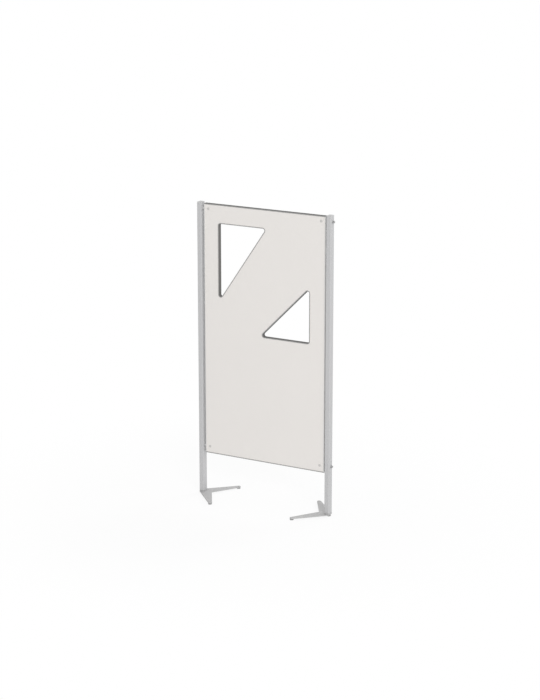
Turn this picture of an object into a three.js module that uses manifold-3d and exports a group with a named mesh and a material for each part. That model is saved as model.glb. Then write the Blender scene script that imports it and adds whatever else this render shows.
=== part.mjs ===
// Free-standing room divider: a panel with two triangular windows, bolted between two tube posts
// that stand on V-shaped foot plates with levelling glides. Millimetres, +Z up. The origin lies on
// the floor, midway between the posts. X runs along the panel and the front faces -Y.
import * as THREE from "three";
import { mergeVertices } from "three/addons/utils/BufferGeometryUtils.js";
import Module from "manifold-3d";

const wasm = await Module();
wasm.setup();

// Clearances
const overrun = 1; // how far a cutting body reaches past the face that it cuts
const runningGap = 0.3; // round a pin, bolt, plug or insert in its hole
const seatGap = 0.3; // between a turned piece and the flat face that it seats on
const trimGap = 0.2; // between the edge trims and the board inside them

// Posts, rectangular steel tube
const dividerHeight = 1796;
const postWidth = 30;
const postDepth = 40;
const postWall = 2;
const postCornerRadius = 3;

// Post caps
const capThickness = 3;
const capChamfer = 1;
const capPlugLength = 14;
const capPlugWall = 1.6;

// Panel: a board in U-shaped edge trims, set between the posts with a gap on both sides
const panelWidth = 810;
const panelTopDrop = 7; // from the tops of the post caps down to the panel
const panelBottom = 262; // from the floor up to the panel
const panelBackInset = 0; // from the backs of the posts to the back of the panel
const postGap = 10;
const coreThickness = 23.4;
const sheetThickness = 0.8;
const trimWall = 1.5;
const trimReach = 5; // how far a trim's legs reach over the panel's face

// Windows, right-angled triangles with round corners, sizes of the clear openings
const windowCornerRadius = 11.5;
const upperWindowWidth = 319;
const upperWindowHeight = 462;
const upperWindowSideMargin = 100; // panel's left edge to the window
const upperWindowTopMargin = 113; // panel's top edge to the window
const lowerWindowWidth = 326;
const lowerWindowHeight = 325.5;
const lowerWindowSideMargin = 104.5; // panel's right edge to the window
const lowerWindowRise = 768; // panel's bottom edge to the window

// Bolted joints between posts and panel
const boltRadius = 4;
const boltTipReach = 12.8; // how far the bolt runs on past the barrel nut's axis
const boltHeadRadius = 7;
const boltHeadHeight = 8;
const boltHeadRounding = 1.2;
const boltSocketRadius = 3.4;
const boltSocketDepth = 4;
const boltTipChamfer = 1;
const topBoltDrop = 31; // below the panel's top edge
const bottomBoltRise = 41.5; // above the panel's bottom edge
const washerRadius = 8;
const washerThickness = 1.6;
const sleeveRadius = 9;
const barrelNutRadius = 7;
const barrelNutInset = 30; // panel's side edge to the barrel nut's axis
const coverRadius = 8;
const coverThickness = 1.2;
const coverChamfer = 0.5;
const coverPlugDepth = 2.5;

// Foot plates: a V with two arms, cut from plate
const footPlateThickness = 6;
const footChamfer = 0.8;
const footArmReach = 222; // along the outer edge, from the post's corner to the tip's centre
const footArmAngle = Math.PI / 4; // between the outer edge and the panel
const footTipRadius = 12;
const footNotchReach = 60; // post's axis to the inner corner of the V
const footNotchRadius = 8;
const footCornerRadius = 3;
const bossRadius = 7.5;
const bossHeight = 1;

// End blocks in the posts' lower ends, and the screws that hold the foot plates to them
const endBlockHeight = 30;
const footScrewEdge = 5; // inner face of the tube's short side to each screw's axis
const footScrewRadius = 2.5;
const footScrewLength = 20;
const footScrewHeadRadius = 4.6;
const footScrewHeadHeight = 2.3;
const footScrewSocketRadius = 1.8;
const footScrewSocketDepth = 1.4;

// Levelling glides
const padRadius = 11;
const padHeight = 4.6;
const padFloorChamfer = 0.8;
const padShoulder = 1.6; // height of the rounded edge on top of the pad
const padFloorThickness = 1.3;
const stemRadius = 4;
const stemNeckRadius = 3;
const stemDiscRadius = 5.6;
const stemDiscThickness = 1.8;
const stemHexRadius = 7;
const stemHexHeight = 1.8;
const stemTopInset = 0.5; // top of an arm's stem below the top of the foot plate
const middleStemReach = 20; // how far the middle stem runs on above the foot plate
const middleGlideOffset = 6.5; // from the post's axis outwards, away from the panel
const stemSocketRadius = 2.3;
const stemSocketDepth = 3;

// Counts
const roundSides = 20;
const holeSides = 16;
const cornerSteps = 3;
const hexSides = 6;
const rimSteps = 3;

// Levels and places that follow from the sizes above
const floorGap = padHeight + seatGap + stemHexHeight + seatGap + bossHeight;
const footTop = floorGap + footPlateThickness;
const postX = panelWidth / 2 + postGap + postWidth / 2;
const tubeTop = dividerHeight - capThickness;
const panelTop = dividerHeight - panelTopDrop;
const panelHeight = panelTop - panelBottom;
const boardThickness = coreThickness + 2 * sheetThickness;
const panelThickness = boardThickness + 2 * trimWall;
const panelMidY = postDepth / 2 - panelBackInset - panelThickness / 2;
const boltLevels = { upper: panelTop - topBoltDrop, lower: panelBottom + bottomBoltRise };
const nutX = panelWidth / 2 - barrelNutInset;
const postOuterX = postX + postWidth / 2;
const boltSeatX = postOuterX + washerThickness + 2 * seatGap;
const boltTipX = nutX - boltTipReach;
const boltLength = boltSeatX - boltTipX;
const footScrewSpread = postDepth / 2 - postWall - footScrewEdge;

// Finishes
const finishes = {
  silverPaint: { color: 0xb9b9ba, roughness: 0.42, metalness: 0.35 },
  capPlastic: { color: 0xbcbcbc, roughness: 0.5, metalness: 0 },
  panelSheet: { color: 0xe2dfdb, roughness: 0.55, metalness: 0 },
  coreBoard: { color: 0xb89b74, roughness: 0.9, metalness: 0 },
  trimPlastic: { color: 0x7f7f7f, roughness: 0.5, metalness: 0 },
  sideTrimPlastic: { color: 0xb0b0af, roughness: 0.5, metalness: 0 },
  zincSteel: { color: 0xa9abad, roughness: 0.35, metalness: 0.9 },
  boltSteel: { color: 0x8c8c8f, roughness: 0.4, metalness: 0.9 },
  coverPlastic: { color: 0xc6c5c3, roughness: 0.5, metalness: 0 },
  glidePlastic: { color: 0x6b6b6b, roughness: 0.65, metalness: 0 },
};

// Solids for joins and cuts

function toSolid(geometry) {
  const bare = geometry.clone();
  bare.deleteAttribute("normal");
  bare.deleteAttribute("uv");
  const merged = mergeVertices(bare);
  return new wasm.Manifold(
    new wasm.Mesh({
      numProp: 3,
      vertProperties: new Float32Array(merged.attributes.position.array),
      triVerts: new Uint32Array(merged.index.array),
    }),
  );
}

function toGeometry(solid) {
  const mesh = solid.getMesh();
  const geometry = new THREE.BufferGeometry();
  geometry.setAttribute("position", new THREE.BufferAttribute(mesh.vertProperties, 3));
  geometry.setIndex(new THREE.BufferAttribute(mesh.triVerts, 1));
  geometry.computeVertexNormals();
  return geometry;
}

function cut(geometry, cutters) {
  return toGeometry(cutters.reduce((rest, c) => rest.subtract(toSolid(c)), toSolid(geometry)));
}

function join(geometries) {
  const solids = geometries.map(toSolid);
  return toGeometry(solids.reduce((sum, s) => sum.add(s)));
}

// Basic shapes

// A round bar on the Z axis, from one level to another.
function bar(radius, bottom, top, sides = holeSides) {
  const length = top - bottom;
  return new THREE.CylinderGeometry(radius, radius, length, sides)
    .rotateX(Math.PI / 2)
    .translate(0, 0, bottom + length / 2);
}

// A turned body on the Z axis from [radius, level] pairs, listed upwards along the outside.
function turned(profile, sides = roundSides) {
  const points = profile.map(([radius, level]) => new THREE.Vector2(radius, level));
  return new THREE.LatheGeometry(points, sides).rotateX(Math.PI / 2);
}

// A rectangle with round corners, centred on the origin, as points in turning order.
function roundedRectangle(width, depth, radius) {
  const points = [];
  const corners = [[1, 1], [-1, 1], [-1, -1], [1, -1]];
  corners.forEach(([sx, sy], quarter) => {
    for (let step = 0; step <= cornerSteps; step += 1) {
      const angle = ((quarter + step / cornerSteps) * Math.PI) / 2;
      points.push(
        new THREE.Vector2(
          sx * (width / 2 - radius) + radius * Math.cos(angle),
          sy * (depth / 2 - radius) + radius * Math.sin(angle),
        ),
      );
    }
  });
  return points;
}

// A straight body along Z between two levels, with the outline's holes left open.
function prism(outline, bottom, top, holes = []) {
  const shape = new THREE.Shape(outline);
  holes.forEach((hole) => shape.holes.push(new THREE.Path(hole)));
  const geometry = new THREE.ExtrudeGeometry(shape, { depth: top - bottom, bevelEnabled: false });
  return geometry.translate(0, 0, bottom);
}

// A closed body over outlines of equal point count, each at its own level, closed at both ends.
function stack(layers) {
  const count = layers[0].outline.length;
  const positions = layers.flatMap(({ outline, level }) =>
    outline.flatMap((point) => [point.x, point.y, level]),
  );
  const faces = [];
  for (let layer = 0; layer + 1 < layers.length; layer += 1) {
    for (let i = 0; i < count; i += 1) {
      const a = layer * count + i;
      const b = layer * count + ((i + 1) % count);
      faces.push(a, b, b + count, a, b + count, a + count);
    }
  }
  const ends = THREE.ShapeUtils.triangulateShape(layers[0].outline, []);
  const last = (layers.length - 1) * count;
  ends.forEach(([a, b, c]) => {
    faces.push(a, c, b);
    faces.push(last + a, last + b, last + c);
  });
  const geometry = new THREE.BufferGeometry();
  geometry.setAttribute("position", new THREE.Float32BufferAttribute(positions, 3));
  geometry.setIndex(faces);
  return geometry;
}

// Posts

function postTube() {
  const tube = prism(
    roundedRectangle(postWidth, postDepth, postCornerRadius),
    footTop,
    tubeTop,
    [
      roundedRectangle(
        postWidth - 2 * postWall,
        postDepth - 2 * postWall,
        postCornerRadius - postWall,
      ),
    ],
  );
  const holes = Object.values(boltLevels).map((level) =>
    bar(boltRadius + runningGap, -postWidth / 2 - overrun, postWidth / 2 + overrun)
      .rotateY(Math.PI / 2)
      .translate(0, panelMidY, level),
  );
  return cut(tube, holes);
}

// The space inside the tube, less the clearance round whatever is pushed into it.
function insideTube(inset = 0) {
  const play = postWall + runningGap + inset;
  return roundedRectangle(
    postWidth - 2 * play,
    postDepth - 2 * play,
    Math.max(postCornerRadius - postWall, runningGap),
  );
}

function postCap() {
  const chamferLevel = dividerHeight - capChamfer;
  const lid = stack([
    { outline: roundedRectangle(postWidth, postDepth, postCornerRadius), level: tubeTop },
    { outline: roundedRectangle(postWidth, postDepth, postCornerRadius), level: chamferLevel },
    {
      outline: roundedRectangle(
        postWidth - 2 * capChamfer,
        postDepth - 2 * capChamfer,
        postCornerRadius - capChamfer,
      ),
      level: dividerHeight,
    },
  ]);
  const plug = prism(insideTube(), tubeTop - capPlugLength, tubeTop + capThickness / 2, [
    insideTube(capPlugWall),
  ]);
  return join([lid, plug]);
}

function endBlock() {
  const block = prism(insideTube(), footTop + seatGap, footTop + endBlockHeight);
  const top = footTop + endBlockHeight + overrun;
  const drill = (radius, x, y) =>
    bar(radius + runningGap, footTop - overrun, top).translate(x, y, 0);
  return cut(block, [
    drill(stemRadius, -middleGlideOffset, 0),
    drill(footScrewRadius, 0, footScrewSpread),
    drill(footScrewRadius, 0, -footScrewSpread),
  ]);
}

// Feet

// Where the front arm's tip is centred, seen from the post's axis, for arms that point to +X.
function footTipCentre() {
  const along = new THREE.Vector2(Math.cos(footArmAngle), -Math.sin(footArmAngle));
  const inward = new THREE.Vector2(Math.sin(footArmAngle), Math.cos(footArmAngle));
  return new THREE.Vector2(-postWidth / 2, -postDepth / 2)
    .addScaledVector(along, footArmReach)
    .addScaledVector(inward, footTipRadius);
}

// Points on an arc about a centre, from one angle to another.
function arc(centre, radius, from, to, steps) {
  return Array.from({ length: steps + 1 }, (unused, step) => {
    const angle = from + ((to - from) * step) / steps;
    return new THREE.Vector2(
      centre.x + radius * Math.cos(angle),
      centre.y + radius * Math.sin(angle),
    );
  });
}

// Outline of the foot plate about the post's axis, drawn in by an inset for the chamfers.
function footOutline(inset) {
  const tip = footTipCentre();
  const notch = new THREE.Vector2(footNotchReach, 0);
  const toTip = tip.clone().sub(notch);
  const lean = Math.asin(footTipRadius / toTip.length());
  const innerEdge = Math.atan2(toTip.y, toTip.x) + lean;
  const innerNormal = innerEdge + Math.PI / 2;
  const outerNormal = -footArmAngle - Math.PI / 2;
  const cornerX = -postWidth / 2 + footCornerRadius;
  const cornerY = -postDepth / 2 + footCornerRadius / Math.tan(footArmAngle / 2 + Math.PI / 4);
  const corner = new THREE.Vector2(cornerX, cornerY);
  const bottomNotch = notch.x + footNotchRadius / Math.cos(innerNormal);
  const lower = [
    ...arc(corner, footCornerRadius - inset, -Math.PI, outerNormal, cornerSteps),
    ...arc(tip, footTipRadius - inset, outerNormal, innerNormal, 2 * cornerSteps),
  ];
  const bend = arc(
    new THREE.Vector2(bottomNotch, 0),
    footNotchRadius + inset,
    innerNormal - Math.PI,
    -innerNormal - Math.PI,
    cornerSteps + 1,
  );
  const upper = lower.map((point) => new THREE.Vector2(point.x, -point.y)).reverse();
  return [...lower, ...bend, ...upper];
}

// The glides' axes about the post's axis, for arms that point to +X: under the post's outer half,
// at the front tip and at the back tip.
function glidePlaces() {
  const tip = footTipCentre();
  return { middle: [-middleGlideOffset, 0], front: [tip.x, tip.y], back: [tip.x, -tip.y] };
}

function footScrewHead(level, radius, height, shank) {
  return [
    [0, level],
    [radius, level],
    [shank, level + height],
  ];
}

function footPlate() {
  const plate = stack([
    { outline: footOutline(footChamfer), level: floorGap },
    { outline: footOutline(0), level: floorGap + footChamfer },
    { outline: footOutline(0), level: footTop - footChamfer },
    { outline: footOutline(footChamfer), level: footTop },
  ]);
  const places = Object.values(glidePlaces());
  const bosses = places.map(([x, y]) =>
    bar(bossRadius, floorGap - bossHeight, floorGap + footPlateThickness / 2).translate(x, y, 0),
  );
  const stemHoles = places.map(([x, y]) =>
    bar(stemRadius + runningGap, floorGap - bossHeight - overrun, footTop + overrun)
      .translate(x, y, 0),
  );
  const screwHoles = [-footScrewSpread, footScrewSpread].map((y) => {
    const wide = footScrewHeadRadius + runningGap;
    const shank = footScrewRadius + runningGap;
    const profile = [
      [0, floorGap - overrun],
      [wide, floorGap - overrun],
      ...footScrewHead(floorGap, wide, footScrewHeadHeight, shank).slice(1),
      [shank, footTop + overrun],
      [0, footTop + overrun],
    ];
    return turned(profile, holeSides).translate(0, y, 0);
  });
  return cut(join([plate, ...bosses]), [...stemHoles, ...screwHoles]);
}

function footScrew() {
  const tip = floorGap + footScrewLength;
  const profile = [
    ...footScrewHead(floorGap, footScrewHeadRadius, footScrewHeadHeight, footScrewRadius),
    [footScrewRadius, tip],
    [0, tip],
  ];
  const socket = bar(
    footScrewSocketRadius,
    floorGap - overrun,
    floorGap + footScrewSocketDepth,
    hexSides,
  );
  return cut(turned(profile, holeSides), [socket]);
}

// Glides

const padMouth = stemNeckRadius + runningGap;
const discBottom = padFloorThickness + seatGap;
const discTop = discBottom + stemDiscThickness;
const hexBottom = padHeight + seatGap;
const hexTop = hexBottom + stemHexHeight;

function glidePad() {
  const cavity = stemDiscRadius + runningGap;
  return turned([
    [0, 0],
    [padRadius - padFloorChamfer, 0],
    [padRadius, padFloorChamfer],
    [padRadius, padHeight - padShoulder],
    [padRadius - padShoulder / 2, padHeight - padShoulder / 4],
    [padRadius - padShoulder, padHeight],
    [padMouth, padHeight],
    [padMouth, discTop + seatGap],
    [cavity, discTop + seatGap],
    [cavity, padFloorThickness],
    [0, padFloorThickness],
  ]);
}

function glideStem(top) {
  const body = turned(
    [
      [0, discBottom],
      [stemDiscRadius, discBottom],
      [stemDiscRadius, discTop],
      [stemNeckRadius, discTop],
      [stemNeckRadius, hexBottom + stemHexHeight / 2],
      [stemRadius, hexBottom + stemHexHeight / 2],
      [stemRadius, top],
      [0, top],
    ],
    holeSides,
  );
  const hex = bar(stemHexRadius, hexBottom, hexTop, hexSides);
  const socket = bar(stemSocketRadius, top - stemSocketDepth, top + overrun, hexSides);
  return cut(join([body, hex]), [socket]);
}

// Panel

// A corner-rounded triangle seen from the front, grown outwards by a distance. The corners are
// listed in turning order, and the arcs keep their centres as the outline grows.
function windowOutline(corners, growth) {
  const points = [];
  corners.forEach((corner, i) => {
    const before = corners[(i + corners.length - 1) % corners.length];
    const after = corners[(i + 1) % corners.length];
    const incoming = corner.clone().sub(before).normalize();
    const outgoing = after.clone().sub(corner).normalize();
    const half = Math.acos(THREE.MathUtils.clamp(-incoming.dot(outgoing), -1, 1)) / 2;
    const middle = outgoing.clone().sub(incoming).normalize();
    const centre = corner.clone().addScaledVector(middle, windowCornerRadius / Math.sin(half));
    const from = Math.atan2(-incoming.x, incoming.y);
    const turn = Math.PI - 2 * half;
    points.push(...arc(centre, windowCornerRadius + growth, from, from + turn, 2 * cornerSteps));
  });
  return points;
}

const upperLeft = -panelWidth / 2 + upperWindowSideMargin;
const upperTop = panelTop - upperWindowTopMargin;
const lowerRight = panelWidth / 2 - lowerWindowSideMargin;
const lowerBottom = panelBottom + lowerWindowRise;
const windows = {
  upper: [
    new THREE.Vector2(upperLeft, upperTop),
    new THREE.Vector2(upperLeft, upperTop - upperWindowHeight),
    new THREE.Vector2(upperLeft + upperWindowWidth, upperTop),
  ],
  lower: [
    new THREE.Vector2(lowerRight, lowerBottom),
    new THREE.Vector2(lowerRight, lowerBottom + lowerWindowHeight),
    new THREE.Vector2(lowerRight - lowerWindowWidth, lowerBottom),
  ],
};

// Stands a body that was drawn flat, with the drawing's up as Z, between two depths. A flat body
// from level 0 to its thickness ends up with its level 0 at the given back depth.
function stand(geometry, back) {
  return geometry.rotateX(Math.PI / 2).translate(0, back, 0);
}

// The board's outline, drawn in from the panel's edges by the trims.
function boardSlab(thickness, front) {
  const inset = trimWall + trimGap;
  const right = panelWidth / 2 - inset;
  const outline = [
    new THREE.Vector2(-right, panelBottom + inset),
    new THREE.Vector2(right, panelBottom + inset),
    new THREE.Vector2(right, panelTop - inset),
    new THREE.Vector2(-right, panelTop - inset),
  ];
  const holes = Object.values(windows).map((corners) => windowOutline(corners, inset));
  return stand(prism(outline, 0, thickness, holes), front + thickness);
}

// Round holes across the board for the barrel nuts.
function nutHoles(radius) {
  const reach = panelThickness / 2 + overrun;
  return [-nutX, nutX].flatMap((x) =>
    Object.values(boltLevels).map((level) =>
      bar(radius, -reach, reach).rotateX(Math.PI / 2).translate(x, panelMidY, level),
    ),
  );
}

// Bolt holes that enter the board from both side edges.
function sideHoles(radius) {
  const outer = panelWidth / 2 + overrun;
  const inner = boltTipX - overrun;
  return [-1, 1].flatMap((side) =>
    Object.values(boltLevels).map((level) =>
      bar(radius, inner, outer)
        .rotateY((side * Math.PI) / 2)
        .translate(0, panelMidY, level),
    ),
  );
}

const boardFront = panelMidY - boardThickness / 2;

function panelCore() {
  return cut(boardSlab(coreThickness, boardFront + sheetThickness), [
    ...nutHoles(barrelNutRadius + runningGap),
    ...sideHoles(boltRadius + runningGap),
  ]);
}

function panelSheet(front) {
  return cut(boardSlab(sheetThickness, front), nutHoles(barrelNutRadius + runningGap));
}

// The U section of a trim: distance into the panel from its edge, and depth from the panel's
// middle, in turning order.
const legDepth = panelThickness / 2;
const slotDepth = legDepth - trimWall;
const trimSection = [
  [0, -legDepth],
  [trimReach, -legDepth],
  [trimReach, -slotDepth],
  [trimWall, -slotDepth],
  [trimWall, slotDepth],
  [trimReach, slotDepth],
  [trimReach, legDepth],
  [0, legDepth],
];

// A straight trim with mitred ends along +X, its outer face at level 0 and its legs downwards.
function straightTrim(length) {
  const count = trimSection.length;
  const positions = [-1, 1].flatMap((end) =>
    trimSection.flatMap(([inwards, depth]) => [
      end * (length / 2 - inwards - trimGap),
      depth,
      -inwards,
    ]),
  );
  const faces = [];
  for (let i = 0; i < count; i += 1) {
    const next = (i + 1) % count;
    faces.push(i, next + count, i + count, i, next, next + count);
  }
  const section = trimSection.map(([inwards, depth]) => new THREE.Vector2(inwards, depth));
  THREE.ShapeUtils.triangulateShape(section, []).forEach(([a, b, c]) => {
    faces.push(a, c, b);
    faces.push(a + count, b + count, c + count);
  });
  const geometry = new THREE.BufferGeometry();
  geometry.setAttribute("position", new THREE.Float32BufferAttribute(positions, 3));
  geometry.setIndex(faces);
  return geometry;
}

// A trim that runs round a window: each point of the section sweeps the window's outline.
function windowTrim(corners) {
  const loops = trimSection.map(([outwards]) => windowOutline(corners, outwards));
  const steps = loops[0].length;
  const count = trimSection.length;
  const positions = loops.flatMap((loop, i) =>
    loop.flatMap((point) => [point.x, trimSection[i][1], point.y]),
  );
  const faces = [];
  for (let i = 0; i < count; i += 1) {
    const nextLoop = (i + 1) % count;
    for (let step = 0; step < steps; step += 1) {
      const nextStep = (step + 1) % steps;
      const a = i * steps + step;
      const b = i * steps + nextStep;
      const c = nextLoop * steps + nextStep;
      const d = nextLoop * steps + step;
      faces.push(a, c, b, a, d, c);
    }
  }
  const geometry = new THREE.BufferGeometry();
  geometry.setAttribute("position", new THREE.Float32BufferAttribute(positions, 3));
  geometry.setIndex(faces);
  return geometry;
}

// A side edge's trim before it is turned upright, with its bolt holes. The sign is the side's.
function sideTrim(sign) {
  const middle = (panelTop + panelBottom) / 2;
  const holes = Object.values(boltLevels).map((level) =>
    bar(boltRadius + runningGap, -overrun - trimReach, overrun)
      .translate(sign * (middle - level), 0, 0),
  );
  return cut(straightTrim(panelHeight), holes);
}

// Fasteners, each with its axis on Z, its head up and its seat at level 0

function connectorBolt() {
  const rim = Array.from({ length: rimSteps + 1 }, (unused, step) => {
    const angle = ((step / rimSteps) * Math.PI) / 2;
    return [
      boltHeadRadius - boltHeadRounding * (1 - Math.cos(angle)),
      boltHeadHeight - boltHeadRounding * (1 - Math.sin(angle)),
    ];
  });
  const profile = [
    [0, -boltLength],
    [boltRadius - boltTipChamfer, -boltLength],
    [boltRadius, -boltLength + boltTipChamfer],
    [boltRadius, 0],
    [boltHeadRadius, 0],
    ...rim,
    [0, boltHeadHeight],
  ];
  const socket = bar(
    boltSocketRadius,
    boltHeadHeight - boltSocketDepth,
    boltHeadHeight + overrun,
    hexSides,
  );
  return cut(turned(profile), [socket]);
}

// A flat ring from level 0 upwards.
function ring(outer, inner, height) {
  return turned([
    [inner, 0],
    [outer, 0],
    [outer, height],
    [inner, height],
    [inner, 0],
  ]);
}

function barrelNut() {
  const half = boardThickness / 2 - coverPlugDepth - seatGap;
  const nut = bar(barrelNutRadius, -half, half, roundSides).rotateX(Math.PI / 2);
  const reach = barrelNutRadius + overrun;
  return cut(nut, [bar(boltRadius + runningGap, -reach, reach).rotateY(Math.PI / 2)]);
}

function coverCap() {
  return turned([
    [0, -coverPlugDepth],
    [barrelNutRadius, -coverPlugDepth],
    [barrelNutRadius, seatGap / 2],
    [coverRadius, seatGap / 2],
    [coverRadius, coverThickness - coverChamfer],
    [coverRadius - coverChamfer, coverThickness],
    [0, coverThickness],
  ]);
}

// Assembly

const divider = new THREE.Group();
const materials = Object.fromEntries(
  Object.entries(finishes).map(([name, finish]) => [name, new THREE.MeshStandardMaterial(finish)]),
);

function addPiece(parent, name, geometry, finish) {
  const mesh = new THREE.Mesh(geometry, materials[finish].clone());
  mesh.name = name;
  parent.add(mesh);
  return mesh;
}

const shapes = {
  post: postTube(),
  cap: postCap(),
  block: endBlock(),
  foot: footPlate(),
  screw: footScrew(),
  pad: glidePad(),
  armStem: glideStem(footTop - stemTopInset),
  middleStem: glideStem(footTop + middleStemReach),
  bolt: connectorBolt(),
  washer: ring(washerRadius, boltRadius + runningGap, washerThickness),
  sleeve: ring(sleeveRadius, boltRadius + runningGap, postGap - 2 * seatGap),
  nut: barrelNut(),
  cover: coverCap(),
};

// One post with its cap, end block, foot plate, foot screws and glides. The foot's arms point
// towards the panel.
function addPostAndFoot(side, sign) {
  const station = new THREE.Group();
  station.position.x = sign * postX;
  divider.add(station);
  const turn = sign > 0 ? Math.PI : 0;
  addPiece(station, `${side}_post`, shapes.post, "silverPaint");
  addPiece(station, `${side}_post_cap`, shapes.cap, "capPlastic");
  addPiece(station, `${side}_end_block`, shapes.block, "zincSteel").rotation.z = turn;
  addPiece(station, `${side}_foot_plate`, shapes.foot, "silverPaint").rotation.z = turn;
  Object.entries({ front: -footScrewSpread, back: footScrewSpread }).forEach(([place, y]) => {
    addPiece(station, `${side}_${place}_foot_screw`, shapes.screw, "zincSteel").position.y = y;
  });
  Object.entries(glidePlaces()).forEach(([place, [x, y]]) => {
    const glide = new THREE.Group();
    glide.position.set(-sign * x, y, 0);
    station.add(glide);
    addPiece(glide, `${side}_${place}_glide_pad`, shapes.pad, "glidePlastic");
    const stem = place === "middle" ? shapes.middleStem : shapes.armStem;
    addPiece(glide, `${side}_${place}_glide_stem`, stem, "boltSteel");
  });
}

// One bolted joint: bolt and washer outside the post, sleeve in the gap, barrel nut in the board
// and a cover over each end of the nut's hole.
function addJoint(side, sign, place, level) {
  const station = new THREE.Group();
  station.position.set(0, panelMidY, level);
  divider.add(station);
  const turn = (sign * Math.PI) / 2;
  const addTurned = (name, shape, x, finish) => {
    const piece = addPiece(station, `${side}_${place}_${name}`, shape, finish);
    piece.rotation.y = turn;
    piece.position.x = sign * x;
  };
  addTurned("washer", shapes.washer, postOuterX + seatGap, "boltSteel");
  addTurned("connector_bolt", shapes.bolt, boltSeatX, "boltSteel");
  addTurned("spacer_sleeve", shapes.sleeve, panelWidth / 2 + seatGap, "zincSteel");
  addPiece(station, `${side}_${place}_barrel_nut`, shapes.nut, "zincSteel").position.x = sign * nutX;
  Object.entries({ front: 1, back: -1 }).forEach(([face, facing]) => {
    const cover = addPiece(
      station,
      `${side}_${place}_${face}_cover`,
      shapes.cover,
      "coverPlastic",
    );
    cover.rotation.x = (facing * Math.PI) / 2;
    cover.position.set(sign * nutX, (-facing * boardThickness) / 2, 0);
  });
}

function addPanel() {
  addPiece(divider, "panel_core", panelCore(), "coreBoard");
  addPiece(divider, "front_sheet", panelSheet(boardFront), "panelSheet");
  addPiece(
    divider,
    "back_sheet",
    panelSheet(boardFront + sheetThickness + coreThickness),
    "panelSheet",
  );
  const middle = (panelTop + panelBottom) / 2;
  const edges = {
    top: { shape: straightTrim(panelWidth), x: 0, z: panelTop, turn: 0 },
    bottom: { shape: straightTrim(panelWidth), x: 0, z: panelBottom, turn: Math.PI },
    left: { shape: sideTrim(-1), x: -panelWidth / 2, z: middle, turn: -Math.PI / 2 },
    right: { shape: sideTrim(1), x: panelWidth / 2, z: middle, turn: Math.PI / 2 },
  };
  Object.entries(edges).forEach(([place, { shape, x, z, turn }]) => {
    const finish = x === 0 ? "trimPlastic" : "sideTrimPlastic";
    const trim = addPiece(divider, `${place}_edge_trim`, shape, finish);
    trim.rotation.y = turn;
    trim.position.set(x, panelMidY, z);
  });
  Object.entries(windows).forEach(([place, corners]) => {
    const trim = addPiece(divider, `${place}_window_trim`, windowTrim(corners), "trimPlastic");
    trim.position.y = panelMidY;
  });
}

Object.entries({ left: -1, right: 1 }).forEach(([side, sign]) => {
  addPostAndFoot(side, sign);
  Object.entries(boltLevels).forEach(([place, level]) => addJoint(side, sign, place, level));
});
addPanel();

export default divider;
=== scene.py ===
import bmesh
import bpy
import numpy as np
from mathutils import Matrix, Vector
from mathutils.geometry import tessellate_polygon


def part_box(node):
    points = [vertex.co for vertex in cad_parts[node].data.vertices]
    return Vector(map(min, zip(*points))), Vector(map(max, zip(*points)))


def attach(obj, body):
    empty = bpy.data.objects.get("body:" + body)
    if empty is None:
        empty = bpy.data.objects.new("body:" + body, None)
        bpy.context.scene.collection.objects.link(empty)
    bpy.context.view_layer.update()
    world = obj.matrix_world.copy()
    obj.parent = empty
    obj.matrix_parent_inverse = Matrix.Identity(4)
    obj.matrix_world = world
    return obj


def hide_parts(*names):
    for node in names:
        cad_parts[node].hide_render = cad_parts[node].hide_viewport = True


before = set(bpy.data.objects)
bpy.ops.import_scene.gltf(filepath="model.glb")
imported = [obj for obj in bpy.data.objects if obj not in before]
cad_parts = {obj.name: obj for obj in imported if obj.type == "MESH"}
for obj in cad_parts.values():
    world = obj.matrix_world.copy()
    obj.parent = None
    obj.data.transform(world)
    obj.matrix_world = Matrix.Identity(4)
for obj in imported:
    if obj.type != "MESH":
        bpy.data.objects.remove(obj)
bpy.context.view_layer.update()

# All sizes are in millimetres, as in the part's source, unless a name or comment says metres.
# A chamfer or fillet in two numbers is given across and along. A hold is the distance of a line
# of points that keeps the shading of a flat stretch even up to its rounded edge.
TO_METRES = 0.001
X, Y, Z = range(3)
SIDES = {"left": -1, "right": 1}
LEVELS = ("upper", "lower")
ROUND = 144  # points in one turn of a turned piece
ANGLES = np.arange(ROUND) * 2 * np.pi / ROUND
SAME = 0.01  # points closer than this are taken as one place

# Posts and caps
POST_WALL = 2.0
POST_CORNER = 3.0
POST_END_HOLD = 1.0
CAP_PLUG_LENGTH = 14.0
CAP_PLUG_WALL = 1.6
CAP_PLUG_CHAMFER = (0.5, 0.8)
CAP_HOLLOW_CHAMFER = (0.3, 0.5)
CAP_LID_CHAMFER = 0.2
CAP_EDGE = 0.9
CAP_EDGE_HOLD = 0.4
CAP_TOP_HOLD = 1.0
CAP_LEAST_CORNER = 0.6
CAP_DRAFT = 0.15
PUSH_GAP = 0.3

# Panel trims: a U section, and the windows' corners as (x, z) seen from the front
TRIM_WALL = 1.5
TRIM_REACH = 5.0
TRIM_GAP = 0.2
WINDOW_RADIUS = 11.5
WINDOWS = {
    "upper": np.array([(-305.0, 1676.0), (-305.0, 1214.0), (14.0, 1676.0)]),
    "lower": np.array([(300.5, 1030.0), (300.5, 1355.5), (-25.5, 1030.0)]),
}

# Bolt holes: their radius, and the lines of the grid round a hole, counted from its axis
BOLT_HOLE = 4.3
HOLE_LINES = np.arange(-8.0, 8.1, 2.0)
HOLE_CELLS = np.arange(len(HOLE_LINES))

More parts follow.
